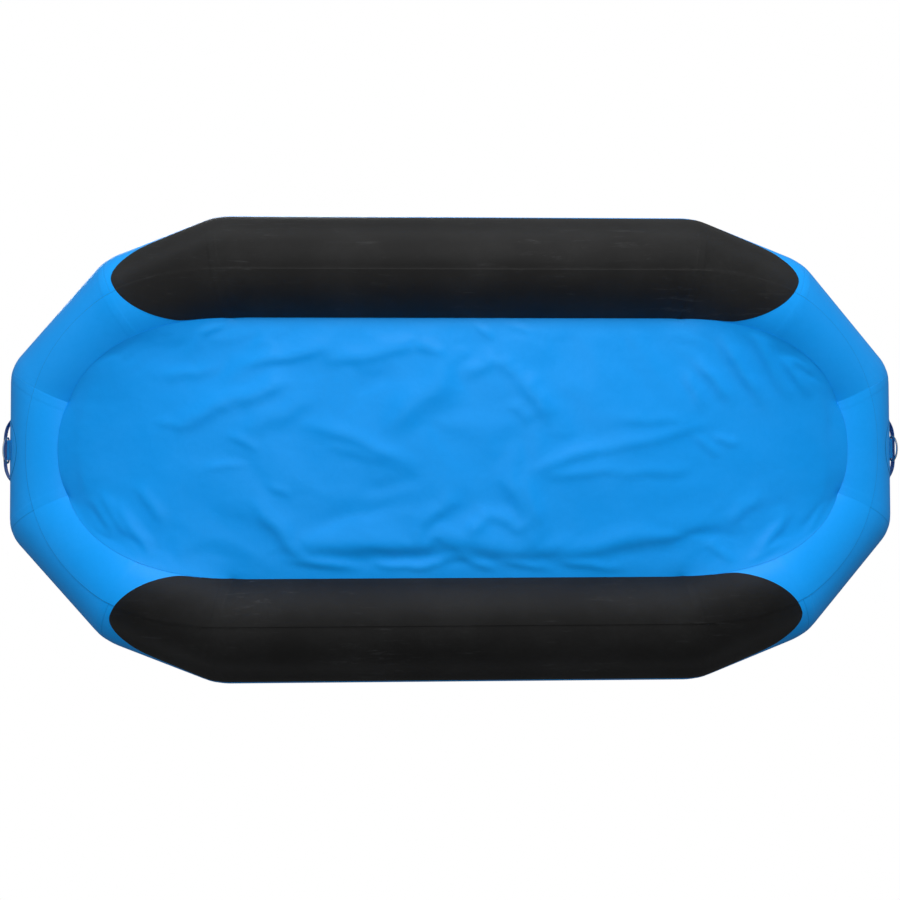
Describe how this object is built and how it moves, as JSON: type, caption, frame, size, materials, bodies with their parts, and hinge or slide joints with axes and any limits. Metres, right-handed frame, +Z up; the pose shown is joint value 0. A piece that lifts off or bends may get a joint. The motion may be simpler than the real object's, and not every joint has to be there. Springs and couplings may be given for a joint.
{
  "type": "whitewater raft",
  "caption": "Inflatable whitewater raft: kicked-up mitred tube ring with baffled chambers, cross thwarts, glued floor sheet, wear patches, valves, carry handles and D-rings.",
  "frame": {"origin": "under the middle of the raft, at the height of the ground it stands on", "axes": "+X towards the bow, +Y to port, +Z up"},
  "size_m": [3.9792, 1.9776, 0.7126],
  "materials": {
    "tube_fabric": "satin coated fabric",
    "floor_fabric": "satin coated fabric",
    "wear_fabric": "satin coated fabric",
    "baffle_fabric": "matt coated fabric",
    "navy_webbing": "woven webbing",
    "stainless_steel": "polished",
    "spring_steel": "drawn wire",
    "valve_plastic": "satin moulded",
    "button_plastic": "satin moulded"
  },
  "bodies": {
    "root": {"baffle_port_bow": "baffle_fabric", "baffle_port_stern": "baffle_fabric", "baffle_starboard_bow": "baffle_fabric", "baffle_starboard_stern": "baffle_fabric", "bow_carry_handle": "navy_webbing", "bow_end_patch": "tube_fabric", "floor_attachment_strip": "tube_fabric", "floor_sheet": "floor_fabric", "port_patch_aft": "tube_fabric", "port_patch_fore": "tube_fabric", "starboard_patch_aft": "tube_fabric", "starboard_patch_fore": "tube_fabric", "stern_carry_handle": "navy_webbing", "stern_end_patch": "tube_fabric", "thwart_aft": "tube_fabric", "thwart_fore": "tube_fabric", "tube_chamber_bow": "tube_fabric", "tube_chamber_port": "tube_fabric", "tube_chamber_starboard": "tube_fabric", "tube_chamber_stern": "tube_fabric", "valve_bow_body": "valve_plastic", "valve_bow_nut": "valve_plastic", "valve_bow_spring": "spring_steel", "valve_port_body": "valve_plastic", "valve_port_nut": "valve_plastic", "valve_port_spring": "spring_steel", "valve_starboard_body": "valve_plastic", "valve_starboard_nut": "valve_plastic", "valve_starboard_spring": "spring_steel", "valve_stern_body": "valve_plastic", "valve_stern_nut": "valve_plastic", "valve_stern_spring": "spring_steel", "valve_thwart_aft_body": "valve_plastic", "valve_thwart_aft_nut": "valve_plastic", "valve_thwart_aft_spring": "spring_steel", "valve_thwart_fore_body": "valve_plastic", "valve_thwart_fore_nut": "valve_plastic", "valve_thwart_fore_spring": "spring_steel", "wear_patch_port": "wear_fabric", "wear_patch_starboard": "wear_fabric"},
    "bow_d_ring": {"bow_d_ring": "stainless_steel"},
    "stern_d_ring": {"stern_d_ring": "stainless_steel"},
    "port_d_ring_aft": {"port_d_ring_aft": "stainless_steel"},
    "port_d_ring_fore": {"port_d_ring_fore": "stainless_steel"},
    "starboard_d_ring_aft": {"starboard_d_ring_aft": "stainless_steel"},
    "starboard_d_ring_fore": {"starboard_d_ring_fore": "stainless_steel"},
    "valve_bow_cap": {"valve_bow_cap": "valve_plastic"},
    "valve_bow_poppet": {"valve_bow_poppet": "button_plastic"},
    "valve_stern_cap": {"valve_stern_cap": "valve_plastic"},
    "valve_stern_poppet": {"valve_stern_poppet": "button_plastic"},
    "valve_port_cap": {"valve_port_cap": "valve_plastic"},
    "valve_port_poppet": {"valve_port_poppet": "button_plastic"},
    "valve_starboard_cap": {"valve_starboard_cap": "valve_plastic"},
    "valve_starboard_poppet": {"valve_starboard_poppet": "button_plastic"},
    "valve_thwart_fore_cap": {"valve_thwart_fore_cap": "valve_plastic"},
    "valve_thwart_fore_poppet": {"valve_thwart_fore_poppet": "button_plastic"},
    "valve_thwart_aft_cap": {"valve_thwart_aft_cap": "valve_plastic"},
    "valve_thwart_aft_poppet": {"valve_thwart_aft_poppet": "button_plastic"}
  },
  "joints": [
    {"name": "bow_d_ring_swing", "type": "hinge", "parent": "root", "child": "bow_d_ring", "pos_m": [1.95411, 0, 0.4077], "axis": [0, -1, 0], "range_deg": [-19, 125]},
    {"name": "stern_d_ring_swing", "type": "hinge", "parent": "root", "child": "stern_d_ring", "pos_m": [-1.95411, 0, 0.4077], "axis": [0, 1, 0], "range_deg": [-19, 125]},
    {"name": "port_d_ring_aft_swing", "type": "hinge", "parent": "root", "child": "port_d_ring_aft", "pos_m": [-0.56, 0.90873, 0.43319], "axis": [1, 0, 0], "range_deg": [0, 180]},
    {"name": "port_d_ring_fore_swing", "type": "hinge", "parent": "root", "child": "port_d_ring_fore", "pos_m": [0.56, 0.90873, 0.43319], "axis": [1, 0, 0], "range_deg": [0, 180]},
    {"name": "starboard_d_ring_aft_swing", "type": "hinge", "parent": "root", "child": "starboard_d_ring_aft", "pos_m": [-0.56, -0.90873, 0.43319], "axis": [-1, 0, 0], "range_deg": [0, 180]},
    {"name": "starboard_d_ring_fore_swing", "type": "hinge", "parent": "root", "child": "starboard_d_ring_fore", "pos_m": [0.56, -0.90873, 0.43319], "axis": [-1, 0, 0], "range_deg": [0, 180]},
    {"name": "valve_bow_cap_hinge", "type": "hinge", "parent": "root", "child": "valve_bow_cap", "pos_m": [1.684, 0.1, 0.71026], "axis": [0, -1, 0], "range_deg": [0, 150]},
    {"name": "valve_bow_poppet_push", "type": "slide", "parent": "root", "child": "valve_bow_poppet", "axis": [0, 0, -1], "range_m": [0, 0.005], "stiffness_N_per_m": 400, "springref_m": -0.004, "deforming": ["valve_bow_spring"]},
    {"name": "valve_stern_cap_hinge", "type": "hinge", "parent": "root", "child": "valve_stern_cap", "pos_m": [-1.738, -0.1, 0.71026], "axis": [0, -1, 0], "range_deg": [0, 150]},
    {"name": "valve_stern_poppet_push", "type": "slide", "parent": "root", "child": "valve_stern_poppet", "axis": [0, 0, -1], "range_m": [0, 0.005], "stiffness_N_per_m": 400, "springref_m": -0.004, "deforming": ["valve_stern_spring"]},
    {"name": "valve_port_cap_hinge", "type": "hinge", "parent": "root", "child": "valve_port_cap", "pos_m": [-0.807, 0.749, 0.48926], "axis": [0, -1, 0], "range_deg": [0, 150]},
    {"name": "valve_port_poppet_push", "type": "slide", "parent": "root", "child": "valve_port_poppet", "axis": [0, 0, -1], "range_m": [0, 0.005], "stiffness_N_per_m": 400, "springref_m": -0.004, "deforming": ["valve_port_spring"]},
    {"name": "valve_starboard_cap_hinge", "type": "hinge", "parent": "root", "child": "valve_starboard_cap", "pos_m": [0.753, -0.749, 0.48926], "axis": [0, -1, 0], "range_deg": [0, 150]},
    {"name": "valve_starboard_poppet_push", "type": "slide", "parent": "root", "child": "valve_starboard_poppet", "axis": [0, 0, -1], "range_m": [0, 0.005], "stiffness_N_per_m": 400, "springref_m": -0.004, "deforming": ["valve_starboard_spring"]},
    {"name": "valve_thwart_fore_cap_hinge", "type": "hinge", "parent": "root", "child": "valve_thwart_fore_cap", "pos_m": [0.393, 0.3, 0.45752], "axis": [0, -1, 0], "range_deg": [0, 150]},
    {"name": "valve_thwart_fore_poppet_push", "type": "slide", "parent": "root", "child": "valve_thwart_fore_poppet", "axis": [0, 0, -1], "range_m": [0, 0.005], "stiffness_N_per_m": 400, "springref_m": -0.004, "deforming": ["valve_thwart_fore_spring"]},
    {"name": "valve_thwart_aft_cap_hinge", "type": "hinge", "parent": "root", "child": "valve_thwart_aft_cap", "pos_m": [-0.447, 0.3, 0.45752], "axis": [0, -1, 0], "range_deg": [0, 150]},
    {"name": "valve_thwart_aft_poppet_push", "type": "slide", "parent": "root", "child": "valve_thwart_aft_poppet", "axis": [0, 0, -1], "range_m": [0, 0.005], "stiffness_N_per_m": 400, "springref_m": -0.004, "deforming": ["valve_thwart_aft_spring"]}
  ]
}
